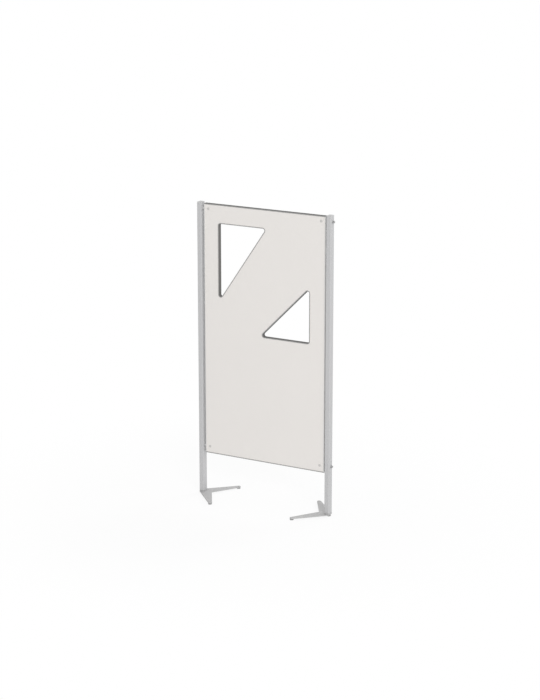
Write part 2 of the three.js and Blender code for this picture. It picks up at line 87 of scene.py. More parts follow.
# Fasteners
BOLT_RADIUS = 4.0
BOLT_POINT = 0.9
BOLT_RUN_OUT = 0.4
BOLT_FILLET = (0.25, 0.5)
BOLT_THREAD_LENGTH = 34.0
THREAD_PITCH = 1.25
THREAD_DEPTH = 0.62
THREAD_STEPS = 6  # rows in one turn of a thread
HEAD_RADIUS = 7.0
HEAD_HEIGHT = 8.0
HEAD_ROUNDING = 1.2
HEAD_COLLAR = 0.1  # how far the smooth collars over and under the knurl are set in
HEAD_LOWER_EDGE = ((0.5, 0.0), (0.3, 0.2), (HEAD_COLLAR, 0.7))  # insets and levels
KNURLS = 36  # grooves round a bolt's head
KNURL_DEPTH = 0.25
KNURL_START = 1.0  # above the head's underside
KNURL_END = 0.6  # below the rounding
SOCKET_CORNER = 3.4
SOCKET_DEPTH = 4.0
SOCKET_CHAMFER = (0.15, 0.2)
DRILL_SHARE = 0.4  # radius of the drilled cone in a socket's floor, as a share of the corner's
DRILL_DEPTH = 0.3
WASHER_RADIUS = 8.0
WASHER_EDGE = 0.25
SLEEVE_RADIUS = 9.0
SLEEVE_EDGE = 0.4
NUT_HOLE = 7.0  # radius
COVER_RADIUS = 8.0
COVER_RIM = 0.7
COVER_RISE = 1.2
COVER_CROWN = 0.3
COVER_SHOULDER = 0.1  # level of the lid's underside over the sheet
COVER_SIDE = 0.45  # from the crown's top down to the side's upper end
COVER_PLUG = 2.5
COVER_PLUG_DRAFT = 0.05

# Feet
FOOT_THICKNESS = 6.0
FOOT_EDGE = 0.8
FOOT_EDGE_HOLD = 0.1
FOOT_ARM_REACH = 222.0
FOOT_ARM_ANGLE = np.pi / 4
FOOT_TIP_RADIUS = 12.0
FOOT_TIP_EASE = 0.2  # how far the round tips stay inside the solids' flats
FOOT_NOTCH_REACH = 60.0
FOOT_NOTCH_RADIUS = 8.0
FOOT_CORNER = 3.0
MIDDLE_GLIDE_OFFSET = 6.5
BOSS_RADIUS = 7.5
BOSS_HEIGHT = 1.0
BOSS_EDGE = 0.3
BOSS_EDGE_MIDDLE = 0.09  # inset of the rounded edge's middle point, both ways
STEM_HOLE_CHAMFER = 0.5
STEM_HOLE_TOP_CHAMFER = (0.35, 0.5)
SCREW_SPREAD = 13.0
SCREW_RADIUS = 2.5
SCREW_HEAD = 4.6
SCREW_HEAD_HEIGHT = 2.3
SCREW_RIM = ((0.2, 0.0), (0.0, 0.15), (0.05, 0.35))  # insets and levels
SCREW_NECK = 1.0  # smooth stretch before the thread
SCREW_POINT = 0.5
SCREW_SOCKET = 1.8
SCREW_SOCKET_DEPTH = 1.4
SCREW_PITCH = 0.8
SCREW_THREAD = 0.4

# Glides
PAD_RADIUS = 11.0
PAD_HEIGHT = 4.6
PAD_FLOOR = 1.3
GROOVE_RADIUS = 8.0
GROOVE_HALF_WIDTH = 0.3
GROOVE_DEPTH = 0.4
NECK_RADIUS = 3.0
NECK_FILLET = 0.2
DISC_RADIUS = 5.6
DISC_BOTTOM = 1.6
DISC_TOP = 3.4
DISC_CHAMFER = 0.3
HEX_CORNER = 7.0
HEX_BOTTOM = 4.9
HEX_TOP = 6.7
HEX_CHAMFER = ((6.3, 0.0), (6.7, 0.2), (HEX_CORNER, 0.5))  # largest radii at depths below a face
STEM_NECK = 0.1  # smooth stretch before the thread
STEM_POINT = 0.6
STEM_SOCKET = 2.3
STEM_SOCKET_DEPTH = 3.0

# Meshes and their edges
MERGE_METRES = 1e-6
SMOOTH_ANGLE = np.radians(34)
EDGE_CONTRAST = 40


# Places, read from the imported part


def span(node):
    """Lowest and highest corner of a CAD node in millimetres."""
    low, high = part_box(node)
    return np.array(low) / TO_METRES, np.array(high) / TO_METRES


def middle(node):
    """Centre of a CAD node's box in millimetres."""
    low, high = span(node)
    return (low + high) / 2


def side_reach(node, sign):
    """Nearest and farthest distance of a CAD node from the middle of the divider, on its side."""
    low, high = span(node)
    return sorted((sign * low[X], sign * high[X]))


def half_post():
    """Half the width and half the depth of a post."""
    low, high = span("left_post")
    return (high - low)[:2] / 2


# Lines and sections


def unit(vectors):
    """Each vector over its length."""
    return vectors / np.linalg.norm(vectors, axis=-1, keepdims=True)


def on_circle(centre, radius, angle):
    """Points on a circle: the centre plus radius times the cosine and sine of each angle."""
    return np.stack([centre[0] + radius * np.cos(angle), centre[1] + radius * np.sin(angle)], 1)


def arc(centre, radius, start, stop, steps):
    """Points on a circle at evenly spaced angles."""
    return on_circle(centre, radius, np.linspace(start, stop, steps + 1))


def rounded(corners, steps=4, hold=0.6, hold_share=0.3):
    """A closed line through corners given as (a, b, radius).

    At each corner with a radius the line follows the circle that touches both sides, whose ends
    lie radius / tan(half the corner's angle) from the corner. It has a holding point just before
    and just after. A corner with radius 0 stays one point."""
    corners = np.array(corners)
    spots = corners[:, :2]
    before, after = np.roll(spots, 1, 0) - spots, np.roll(spots, -1, 0) - spots
    share = np.linspace(0, 1, steps + 1)[:, None]
    line = []
    for spot, radius, back, forth in zip(spots, corners[:, 2], before, after):
        if radius == 0:
            line.append(spot[None])
            continue
        room = min(np.linalg.norm(back), np.linalg.norm(forth))
        back, forth = unit(back), unit(forth)
        half = np.arccos(back @ forth) / 2
        reach = radius / np.tan(half)
        centre = spot + unit(back + forth) * radius / np.sin(half)
        first, last = spot + back * reach - centre, spot + forth * reach - centre
        turn = np.pi - 2 * half
        bend = (np.sin((1 - share) * turn) * first + np.sin(share * turn) * last) / np.sin(turn)
        end = reach + min(hold, hold_share * (room - reach))
        line += [(spot + back * end)[None], centre + bend, (spot + forth * end)[None]]
    return np.concatenate(line)


def tube_ring(width, depth, radius, lines=(), steps=8, hold=1.0):
    """One turn round a rectangle with round corners.

    It is made of four arcs, each with a holding point before and after, and of points on the right
    and left sides at the given depths."""
    quarter = np.pi / 2
    x, y = width / 2 - radius, depth / 2 - radius
    corners = []
    for turn, (sx, sy) in enumerate(((1, 1), (-1, 1), (-1, -1), (1, -1))):
        start, stop = turn * quarter, (turn + 1) * quarter
        bend = arc((sx * x, sy * y), radius, start, stop, steps)
        lead = bend[0] - hold * np.array([-np.sin(start), np.cos(start)])
        trail = bend[-1] + hold * np.array([-np.sin(stop), np.cos(stop)])
        corners.append(np.concatenate([[lead], bend, [trail]]))
    lines = np.asarray(lines, float)
    right = np.stack([np.full(len(lines), width / 2), lines], 1)
    left = (right * (-1, 1))[::-1]
    return np.concatenate([right, corners[0], corners[1], left, corners[2], corners[3]])


def window_line(corners, growth, steps=20):
    """A triangle with round corners, grown outwards.

    Each arc's centre lies on the corner's bisector, radius / sin(half the corner's angle) from the
    corner. It stays there, and the radius gains the growth."""
    before = unit(corners - np.roll(corners, 1, 0))
    after = unit(np.roll(corners, -1, 0) - corners)
    half = np.arccos(-(before * after).sum(1)) / 2
    centre = corners + unit(after - before) * (WINDOW_RADIUS / np.sin(half))[:, None]
    start = np.arctan2(-before[:, 0], before[:, 1])
    share = np.linspace(0, 1, steps + 1)
    angle = start[:, None] + (np.pi - 2 * half)[:, None] * share
    radius = WINDOW_RADIUS + growth
    x = centre[:, :1] + radius * np.cos(angle)
    z = centre[:, 1:] + radius * np.sin(angle)
    return np.stack([x.ravel(), z.ravel()], 1)


def stacked(lines, levels):
    """Flat lines, each laid at its level, as the rows of a grid."""
    lines = np.asarray(lines)
    heights = np.broadcast_to(levels[:, None, None], (*lines.shape[:2], 1))
    return np.concatenate([lines, heights], 2)


# Shells: points and faces of closed surfaces


def shell(grid, wrap=False, holes=(), ends=True):
    """Quads over a grid whose columns close into rings.

    Each quad joins two neighbours in one row to the same two in the next. The first and last rows
    are closed by a face each, or with wrap they join each other. A hole is two blocks of cells as
    (rows, columns), its centre, radius and axis: both blocks are left out, their borders are drawn
    onto the circle, and a round wall joins the two circles."""
    rows, columns = grid.shape[:2]
    index = np.arange(rows * columns).reshape(rows, columns)
    low = index if wrap else index[:-1]
    high = np.roll(index, -1, 0) if wrap else index[1:]
    quads = np.stack([low, np.roll(low, -1, 1), np.roll(high, -1, 1), high], -1)
    kept = np.ones(quads.shape[:2], bool)
    points, walls = [grid.reshape(-1, 3)], []
    count = rows * columns
    for *blocks, centre, radius, axis in holes:
        circles = []
        for block_rows, block_columns in blocks:
            kept[min(block_rows):max(block_rows), min(block_columns):max(block_columns)] = False
            border = index[border_of(block_rows, block_columns)]
            spots = points[0][border]
            out = spots - centre
            out[:, axis] = 0
            drawn = centre + radius * unit(out)
            drawn[:, axis] = spots[:, axis]
            points.append(drawn)
            circles.append(count + np.arange(len(drawn)))
            count += len(drawn)
            walls.append(ribbon(border, circles[-1]))
        walls.append(ribbon(*circles))
    faces = np.concatenate([quads[kept], *walls]).tolist()
    if ends and not wrap:
        faces += [index[0].tolist(), index[-1].tolist()]
    return np.concatenate(points), faces


def border_of(rows, columns):
    """Row and column numbers once round a block of cells."""
    first, last = (np.full(len(columns) - 1, row) for row in (rows[0], rows[-1]))
    left, right = (np.full(len(rows) - 1, column) for column in (columns[0], columns[-1]))
    return (
        np.concatenate([first, rows[:-1], last, rows[:0:-1]]),
        np.concatenate([columns[:-1], right, columns[:0:-1], left]),
    )


def ribbon(first, second):
    """Quads between two rings of as many points."""
    return np.stack([first, np.roll(first, -1), np.roll(second, -1), second], -1)


def together(*shells):
    """Several shells as one."""
    points, faces, count = [], [], 0
    for some_points, some_faces in shells:
        points.append(some_points)
        faces += [[count + i for i in face] for face in some_faces]
        count += len(some_points)
    return np.concatenate(points), faces


def flat_face(outline, openings, level):
    """A level face inside an outline, left open inside the openings."""
    loops = [np.column_stack([line, np.zeros(len(line))]) for line in (outline, *openings)]
    faces = tessellate_polygon([loop.tolist() for loop in loops])
    return np.concatenate(loops) + (0, 0, level), [list(face) for face in faces]


def turned(rows, ends=True, wrap=False):
    """A body turned about the Z axis.

    Each row is a radius and a level, plain numbers or one for each of the angles round the axis.
    Its points are the radius times the cosine and sine of the angle, at the level."""
    radius, level = (np.array([np.broadcast_to(row[i], ROUND) for row in rows]) for i in (0, 1))
    grid = np.stack([radius * np.cos(ANGLES), radius * np.sin(ANGLES), level], -1)
    return shell(grid, wrap=wrap, ends=ends)


def hexagon(corner):
    """Radius of a hexagon at each angle.

    It is the distance of the flats over the cosine of the angle from the nearest flat's middle."""
    sixth = np.pi / 3
    return corner * np.cos(sixth / 2) / np.cos((ANGLES - np.pi / 2) % sixth - sixth / 2)


def thread(radius, depth, pitch, start, stop):
    """Rows of a screw thread between two levels.

    The radius drops by the depth times a triangle wave of (level / pitch - angle / full turn), and
    the depth fades in and out over one pitch at the ends."""
    steps = max(int(abs(stop - start) / pitch * THREAD_STEPS), THREAD_STEPS)
    level = np.linspace(start, stop, steps + 1)
    phase = (level[:, None] / pitch - np.arange(ROUND) / ROUND) % 1
    fade = np.clip(np.minimum(abs(level - start), abs(level - stop)) / pitch, 0, 1)
    wave = 1 - abs(2 * phase - 1)
    return [*zip(radius - depth * fade[:, None] * wave, level)]


def placed(body, matrix=None, at=(0, 0, 0)):
    """A shell turned by a rotation matrix and then moved."""
    points, faces = body
    if matrix is not None:
        points = points @ np.array(matrix, float).T
    return points + np.array(at, float), faces


def on_axis(body, node):
    """A shell moved to the upright axis of a CAD node."""
    x, y = middle(node)[:2]
    return placed(body, at=(x, y, 0))


# Turns that lay a piece made along Z onto another axis
HALF_TURN = ((-1, 0, 0), (0, -1, 0), (0, 0, 1))
TO_SIDE = {1: ((0, 0, 1), (0, 1, 0), (-1, 0, 0)), -1: ((0, 0, -1), (0, 1, 0), (1, 0, 0))}
TO_FACE = {"front": ((1, 0, 0), (0, 0, -1), (0, 1, 0)), "back": ((1, 0, 0), (0, 0, 1), (0, -1, 0))}
UPSIDE_DOWN = ((-1, 0, 0), (0, 1, 0), (0, 0, -1))


def edge_share(mesh):
    """For each vertex, how far its faces turn away from each other.

    It is one less the length of the faces' mean normal, times a contrast, from 0 to 1."""
    corner_vertex = np.zeros(len(mesh.loops), np.int32)
    mesh.loops.foreach_get("vertex_index", corner_vertex)
    normal = np.zeros(len(mesh.polygons) * 3, np.float32)
    mesh.polygons.foreach_get("normal", normal)
    count = np.zeros(len(mesh.polygons), np.int32)
    mesh.polygons.foreach_get("loop_total", count)
    spread = np.repeat(normal.reshape(-1, 3), count, axis=0)
    total = np.zeros((len(mesh.vertices), 3))
    np.add.at(total, corner_vertex, spread)
    faces = np.bincount(corner_vertex, minlength=len(mesh.vertices))
    mean = np.linalg.norm(total, axis=1) / np.maximum(faces, 1)
    return np.clip((1 - mean) * EDGE_CONTRAST, 0, 1)


def new_object(name, data):
    """An object with its data, linked to the scene."""
    made = bpy.data.objects.new(name, data)
    bpy.context.scene.collection.objects.link(made)
    return made


def add_piece(node, body, finish, ride="stand"):
    """Makes a shell into an object that rides on a CAD body and stands for a CAD node."""
    points, faces = body
    name = f"{node}_shape"
    mesh = bpy.data.meshes.new(name)
    mesh.from_pydata((points * TO_METRES).tolist(), [], faces)
    work = bmesh.new()
    work.from_mesh(mesh)
    bmesh.ops.remove_doubles(work, verts=work.verts, dist=MERGE_METRES)
    bmesh.ops.recalc_face_normals(work, faces=work.faces)
    work.to_mesh(mesh)
    work.free()
    mesh.shade_smooth()
    mesh.set_sharp_from_angle(angle=SMOOTH_ANGLE)
    mark = mesh.attributes.new("edge", "FLOAT", "POINT")
    mark.data.foreach_set("value", edge_share(mesh).astype(np.float32))
    mesh.materials.append(FINISHES[finish])
    thing = new_object(name, mesh)
    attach(thing, ride)
    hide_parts(node)


# Shader nodes


def add_node(tree, kind, inputs=None, **settings):
    """Adds a shader node. An input takes a number, a colour or another node's output."""
    made = tree.nodes.new("ShaderNode" + kind)
    for key, value in settings.items():
        setattr(made, key, value)
    for key, value in (inputs or {}).items():
        if isinstance(value, bpy.types.NodeSocket):
            tree.links.new(value, made.inputs[key])
        else:
            made.inputs[key].default_value = value
    return made


def calc(tree, operation, *values, clamp=False):
    """A Math node's result."""
    made = add_node(tree, "Math", dict(enumerate(values)), operation=operation, use_clamp=clamp)
    return made.outputs[0]


def scaled(tree, value, factor, offset, clamp=False):
    """A value times a factor, plus an offset."""
    return calc(tree, "MULTIPLY_ADD", value, factor, offset, clamp=clamp)


def ramp(tree, value, start, stop, first, last, **settings):
    """Goes from first to last while a value goes from start to stop, and stays there."""
    made = add_node(tree, "MapRange", {0: value, 1: start, 2: stop, 3: first, 4: last}, **settings)
    return made.outputs[0]


def along(tree, vector, axis):
    """One of a vector's three numbers."""
    return add_node(tree, "SeparateXYZ", {0: vector}).outputs[axis]


def blend(tree, share, first, second):
    """A colour mixed from two by a share."""
    made = add_node(tree, "Mix", {0: share, 6: first, 7: second}, data_type="RGBA")
    return made.outputs[2]


def noise(tree, place, scale, detail, roughness=0.5):
    """Noise from 0 to 1 over a place, with its scale in grains a metre."""
    inputs = {"Vector": place, "Scale": scale, "Detail": detail, "Roughness": roughness}
    return add_node(tree, "TexNoise", inputs, noise_dimensions="3D").outputs[0]


def shade(colour, factor=1.0):
    """A colour made lighter or darker, with full alpha."""
    return (*[min(c * factor, 1.0) for c in colour], 1.0)


def clouded(tree, tone, colour, spread):
    """A colour that goes with a tone from a little darker to a little lighter."""
    return blend(tree, tone, shade(colour, 1 - spread), shade(colour, 1 + spread))


# Effects that the finishes are made of, each a node group


def new_group(name, inputs, outputs):
    """A shader node group with named number inputs and outputs, and a vector input Place."""
    tree = bpy.data.node_groups.new(name, "ShaderNodeTree")
    tree.interface.new_socket(name="Place", in_out="INPUT", socket_type="NodeSocketVector")
    for label in inputs:
        tree.interface.new_socket(name=label, in_out="INPUT", socket_type="NodeSocketFloat")
    for label in outputs:
        tree.interface.new_socket(name=label, in_out="OUTPUT", socket_type="NodeSocketFloat")
    return tree, tree.nodes.new("NodeGroupInput").outputs, tree.nodes.new("NodeGroupOutput").inputs


def surface_grain_group():
    """Height is a fine noise plus a stronger coarse one, and Tone is a slow change of shade."""
    tree, given, out = new_group("surface_grain", ["Fine", "Coarse", "Cloud"], ["Height", "Tone"])
    fine = noise(tree, given["Place"], given["Fine"], detail=2.0)
    coarse = noise(tree, given["Place"], given["Coarse"], detail=1.0)
    cloud = noise(tree, given["Place"], given["Cloud"], detail=4.0, roughness=0.6)
    tree.links.new(scaled(tree, coarse, factor=1.6, offset=fine), out["Height"])
    tree.links.new(cloud, out["Tone"])
    return tree


def edge_rub_group():
    """Where the edge attribute is high and a patchy noise agrees, the finish is rubbed."""
    tree, given, out = new_group("edge_rub", ["Amount"], ["Mask"])
    edge = add_node(tree, "Attribute", attribute_type="GEOMETRY", attribute_name="edge")
    patches = noise(tree, given["Place"], scale=140.0, detail=5.0, roughness=0.65)
    rub = scaled(tree, patches, factor=1.5, offset=-0.55)
    shown = calc(tree, "MULTIPLY", rub, edge.outputs["Fac"], clamp=True)
    tree.links.new(calc(tree, "MULTIPLY", shown, given["Amount"]), out["Mask"])
    return tree


def floor_dust_group():
    """Dust lies on what faces up, thins out with height above the floor and gathers in patches."""
    tree, given, out = new_group("floor_dust", ["Reach"], ["Mask"])
    up = along(tree, add_node(tree, "NewGeometry").outputs["Normal"], Z)
    height = calc(tree, "DIVIDE", along(tree, given["Place"], Z), given["Reach"])
    near = calc(tree, "SUBTRACT", 1.0, height, clamp=True)
    facing = scaled(tree, up, factor=0.7, offset=0.3, clamp=True)
    patches = noise(tree, given["Place"], scale=70.0, detail=5.0, roughness=0.7)
    patches = scaled(tree, patches, factor=2.4, offset=-0.7, clamp=True)
    lying = calc(tree, "MULTIPLY", near, facing)
    tree.links.new(calc(tree, "MULTIPLY", lying, patches), out["Mask"])
    return tree


def drawn_lines_group():
    """Fine lines along a drawn profile: noise squeezed across it and stretched along it."""
    tree, given, out = new_group("drawn_lines", ["Lines"], ["Height"])
    across = calc(tree, "MULTIPLY", along(tree, given["Place"], Y), given["Lines"])
    squeezed = add_node(tree, "CombineXYZ", {Y: across}).outputs[0]
    grains = (4.0, 0.0, 4.0)  # a metre, along the profile
    stretched = add_node(tree, "Mapping", {"Vector": given["Place"], "Scale": grains}).outputs[0]
    spot = add_node(tree, "VectorMath", {0: stretched, 1: squeezed}, operation="ADD").outputs[0]
    tree.links.new(noise(tree, spot, scale=1.0, detail=3.0, roughness=0.6), out["Height"])
    return tree


def flake_group():
    """Tiny flakes in the paint: each cell of a cell pattern has a shade of its own."""
    tree, given, out = new_group("paint_flake", ["Flakes"], ["Shade"])
    cells = add_node(tree, "TexVoronoi", {"Vector": given["Place"], "Scale": given["Flakes"]})
    tree.links.new(along(tree, cells.outputs["Color"], X), out["Shade"])
    return tree


GROUPS = {
    "grain": surface_grain_group(),
    "rub": edge_rub_group(),
    "dust": floor_dust_group(),
    "lines": drawn_lines_group(),
    "flake": flake_group(),
}


def use_group(tree, name, place, **values):
    """An effect placed in a material with its own values."""
    made = tree.nodes.new("ShaderNodeGroup")
    made.node_tree = GROUPS[name]
    tree.links.new(place, made.inputs["Place"])
    for key, value in values.items():
        made.inputs[key].default_value = value
    return made.outputs


# Shares that follow the shape of certain pieces

LIP_START, LIP_FULL = 0.6, 0.3  # depths below a lip's face
# Painted shade on the feet: the paint is darkened where shade falls, in the corner round each
# post's foot and on the plates' cut sides.
SHADE_REACH = 14.0
SHADE_SHARE, SHADE_SIDE_SHARE = 0.6, 0.45
SHADE_FULL_LEVEL, SHADE_LAST_LEVEL = 1.0, 13.0
SIDE_START, SIDE_FULL = 0.8, 0.4  # how far a face's normal points up or down


def lip_share(tree, place):
    """1 on the trims' lips and 0 on their outer walls, by the distance from the panel's middle."""
    low, high = span("top_edge_trim")
    half, centre = (high[Y] - low[Y]) / 2, (high[Y] + low[Y]) / 2
    away = calc(tree, "SUBTRACT", along(tree, place, Y), centre * TO_METRES)
    start, stop = (half - LIP_START) * TO_METRES, (half - LIP_FULL) * TO_METRES
    return ramp(tree, calc(tree, "ABSOLUTE", away), start, stop, 0.0, 1.0)


def painted_shade_share(tree, place):
    """Share of painted shade on the feet: in the corner round each post and on the plates' cut
    sides.

    The corner's share falls off with the larger of the two distances to the post's walls and with
    the height above the plate. The sides' share rises as a face turns away from up and down."""
    level = span("right_post")[0][Z]
    away = []
    for axis, centre, half in zip((X, Y), middle("right_post"), half_post()):
        off = calc(tree, "ABSOLUTE", along(tree, place, axis))
        off = calc(tree, "ABSOLUTE", calc(tree, "SUBTRACT", off, centre * TO_METRES))
        away.append(calc(tree, "SUBTRACT", off, half * TO_METRES))
    out = calc(tree, "MAXIMUM", *away)
    near = ramp(tree, out, 0.0, SHADE_REACH * TO_METRES, SHADE_SHARE, 0.0)
    height = along(tree, place, Z)
    full, last = (level + SHADE_FULL_LEVEL) * TO_METRES, (level + SHADE_LAST_LEVEL) * TO_METRES
    corner = calc(tree, "MULTIPLY", near, ramp(tree, height, full, last, 1.0, 0.0))
    up = along(tree, add_node(tree, "NewGeometry").outputs["Normal"], Z)
    up = calc(tree, "ABSOLUTE", up)
    side = ramp(tree, up, SIDE_START, SIDE_FULL, 0.0, SHADE_SIDE_SHARE)
    plate = calc(tree, "LESS_THAN", height, level * TO_METRES)
    return calc(tree, "MAXIMUM", corner, calc(tree, "MULTIPLY", side, plate))


# Finishes

FLAKES = 2600.0  # a metre
LINE_HEIGHT, LINE_TONE = 1.5, 0.4  # share of the drawn lines in height and tone
DUST = (0.55, 0.53, 0.50)
DUST_REACH = 0.12  # metres above the floor
# The second change of roughness is for the shade painted on the feet.
WORN_GLOSS, SHADE_DULLNESS, DUST_DULLNESS = -0.12, 0.1, 0.3  # changes of roughness


def start_finish(name):
    """An empty material with a Principled shader and object coordinates."""
    made = bpy.data.materials.new(name)
    made.use_nodes = True
    tree = made.node_tree
    return made, tree, tree.nodes["Principled BSDF"], add_node(tree, "TexCoord").outputs["Object"]


def end_finish(tree, shader, base, rough, height, depth):
    """Joins colour, roughness and height to the shader. The height's depth is in millimetres."""
    bump = add_node(tree, "Bump", {"Height": height, "Distance": depth * TO_METRES})
    tree.links.new(base, shader.inputs["Base Color"])
    tree.links.new(rough, shader.inputs["Roughness"])
    tree.links.new(bump.outputs[0], shader.inputs["Normal"])


def coated(name, colour, grain, roughness=0.5, spread=0.03, uneven=0.06, depth=0.02,
           metallic=0.0, specular=0.5, worn=None, rub=0.5, dust=0.25, flake=0.0, lines=0.0,
           lip=None, painted_shade=None):
    """A paint, plastic or laminate in one base colour.

    grain is (fine, coarse, cloud) grains a metre, spread the change of shade, uneven the change of
    roughness, and depth the height of the grain in millimetres. worn is the colour at rubbed edges,
    dust the share of dust near the floor, flake the change of shade among paint flakes, lines the
    number of drawn lines a metre, lip the colour of a trim's lips, and painted_shade the colour of
    the shade painted on the feet, round each post's foot and on the plates' cut sides."""
    made, tree, shader, place = start_finish(name)
    fine, coarse, cloud = grain
    texture = use_group(tree, "grain", place, Fine=fine, Coarse=coarse, Cloud=cloud)
    tone, height = texture["Tone"], texture["Height"]
    if flake:
        flakes = use_group(tree, "flake", place, Flakes=FLAKES)["Shade"]
        tone = scaled(tree, calc(tree, "SUBTRACT", flakes, 0.5), flake, tone)
    if lines:
        drawn = use_group(tree, "lines", place, Lines=lines)["Height"]
        height = scaled(tree, drawn, LINE_HEIGHT, height)
        tone = scaled(tree, calc(tree, "SUBTRACT", drawn, 0.5), LINE_TONE, tone)
    base = clouded(tree, tone, colour, spread)
    if lip:
        base = blend(tree, lip_share(tree, place), base, clouded(tree, tone, lip, spread))
    rough = scaled(tree, texture["Tone"], uneven, roughness - uneven / 2)
    if worn:
        mask = use_group(tree, "rub", place, Amount=rub)["Mask"]
        base = blend(tree, mask, base, shade(worn))
        rough = scaled(tree, mask, WORN_GLOSS, rough)
    # Painted shade: darker, slightly rougher paint in the corner round each post's foot and on the
    # plates' cut sides.
    if painted_shade:
        mask = painted_shade_share(tree, place)
        base = blend(tree, mask, base, shade(painted_shade))
        rough = scaled(tree, mask, SHADE_DULLNESS, rough)
    if dust:
        mask = use_group(tree, "dust", place, Reach=DUST_REACH)["Mask"]
        mask = calc(tree, "MULTIPLY", mask, dust)
        base = blend(tree, mask, base, shade(DUST))
        rough = scaled(tree, mask, DUST_DULLNESS, rough, clamp=True)
    end_finish(tree, shader, base, rough, height, depth)
    shader.inputs["Metallic"].default_value = metallic
    shader.inputs["Specular IOR Level"].default_value = specular
    return made


def chip_board(name, dark, light, chips):
    """Pressed wood chips: each cell of a stretched cell pattern has a shade between two woods."""
    made, tree, shader, place = start_finish(name)
    laid = add_node(tree, "Mapping", {"Vector": place, "Scale": (1.0, 2.5, 1.0)}).outputs[0]
    cells = add_node(tree, "TexVoronoi", {"Vector": laid, "Scale": chips}).outputs
    pick = along(tree, cells["Color"], X)
    wood = blend(tree, pick, shade(dark), shade(light))
    rough = scaled(tree, pick, factor=0.1, offset=0.8)
    end_finish(tree, shader, wood, rough, cells["Distance"], depth=0.4)
    return made


def zinc_plate(name, bluish, yellowish, worn):
    """Zinc on steel: its tint drifts between bluish and yellowish, and its gloss is patchy."""
    made, tree, shader, place = start_finish(name)
    texture = use_group(tree, "grain", place, Fine=3200.0, Coarse=700.0, Cloud=90.0)
    tint = blend(tree, texture["Tone"], shade(bluish), shade(yellowish))
    mask = use_group(tree, "rub", place, Amount=0.5)["Mask"]
    base = blend(tree, mask, tint, shade(worn))
    rough = scaled(tree, texture["Tone"], factor=0.25, offset=0.2)
    end_finish(tree, shader, base, rough, texture["Height"], depth=0.012)
    shader.inputs["Metallic"].default_value = 1.0
    return made


COATS = {
    "silver_paint": dict(
        colour=(0.49, 0.49, 0.495), grain=(2400.0, 620.0, 5.0), specular=0.3,
        metallic=0.2, worn=(0.66, 0.66, 0.66), rub=0.45, flake=0.6, depth=0.03,
        # colour of the shade painted round each post's foot and on the plates' cut sides
        painted_shade=(0.34, 0.34, 0.34),
    ),
    "cap_plastic": dict(
        colour=(0.52, 0.52, 0.52), grain=(1800.0, 500.0, 30.0), worn=(0.6, 0.6, 0.6),
    ),
    "panel_sheet": dict(
        colour=(0.71, 0.685, 0.661), grain=(1500.0, 420.0, 3.0), spread=0.015,
        uneven=0.1, depth=0.05, dust=0.0,
    ),
    "edge_trim": dict(
        colour=(0.145, 0.141, 0.137), grain=(1600.0, 300.0, 12.0), roughness=0.75, specular=0.05,
        worn=(0.26, 0.26, 0.26), rub=0.3, lines=2200.0, lip=(0.32, 0.32, 0.315),
    ),
    # Painted light: the side trims are a far lighter copy of the dark trim, so that their walls in
    # the shaded gap beside each post look lit.
    "side_trim": dict(
        colour=(0.7, 0.695, 0.685), grain=(1600.0, 300.0, 12.0), roughness=0.7, specular=0.1,
        worn=(0.74, 0.74, 0.74), rub=0.3, lines=2200.0, lip=(0.55, 0.548, 0.54),
    ),
    "cover_plastic": dict(
        colour=(0.5, 0.49, 0.475), grain=(1800.0, 500.0, 60.0), roughness=0.45,
        worn=(0.62, 0.61, 0.6),
    ),
    "glide_plastic": dict(
        colour=(0.33, 0.33, 0.332), grain=(1700.0, 480.0, 60.0), roughness=0.6,
        worn=(0.4, 0.4, 0.4), rub=0.6, dust=0.5, depth=0.03,
    ),
}
ZINCS = {
    "zinc_steel": ((0.72, 0.74, 0.77), (0.8, 0.785, 0.75), (0.85, 0.85, 0.85)),
    "bolt_steel": ((0.45, 0.455, 0.465), (0.52, 0.515, 0.5), (0.6, 0.6, 0.6)),
}
FINISHES = {name: coated(name, **look) for name, look in COATS.items()}
FINISHES |= {name: zinc_plate(name, *colours) for name, colours in ZINCS.items()}
FINISHES["core_board"] = chip_board(
    "core_board", dark=(0.30, 0.19, 0.10), light=(0.62, 0.46, 0.28), chips=260.0
)


# Posts and caps


def add_post(side):
    """Tube ring carried up the outside and down the inside, with round holes where the bolts cross
    both walls."""
    node = f"{side}_post"
    low, high = span(node)
    centre, size = (low + high) / 2, high - low
    bolts = [middle(f"{side}_{place}_washer") for place in ("lower", "upper")]
    ends = np.array([0, POST_END_HOLD])
    levels = np.concatenate(
        [low[Z] + ends, *[bolt[Z] + HOLE_LINES for bolt in bolts], high[Z] - ends[::-1]]
    )
    lines = bolts[0][Y] - centre[Y] + HOLE_LINES
    width, depth = size[:2] - 2 * POST_WALL
    outside = tube_ring(size[X], size[Y], POST_CORNER, lines)
    inside = tube_ring(width, depth, POST_CORNER - POST_WALL, lines)
    rings = np.repeat([outside, inside], len(levels), axis=0)
    grid = stacked(rings, np.concatenate([levels, levels[::-1]])) + (centre[X], centre[Y], 0)
    last = 2 * len(levels) - 1
    holes = []
    for number, bolt in enumerate(bolts):
        rows = len(ends) + number * len(HOLE_CELLS) + HOLE_CELLS
        for columns in (HOLE_CELLS, len(outside) // 2 + HOLE_CELLS):
            holes.append(((rows, columns), (last - rows, columns), bolt, BOLT_HOLE, X))
    add_piece(node, shell(grid, wrap=True, holes=holes), "silver_paint")


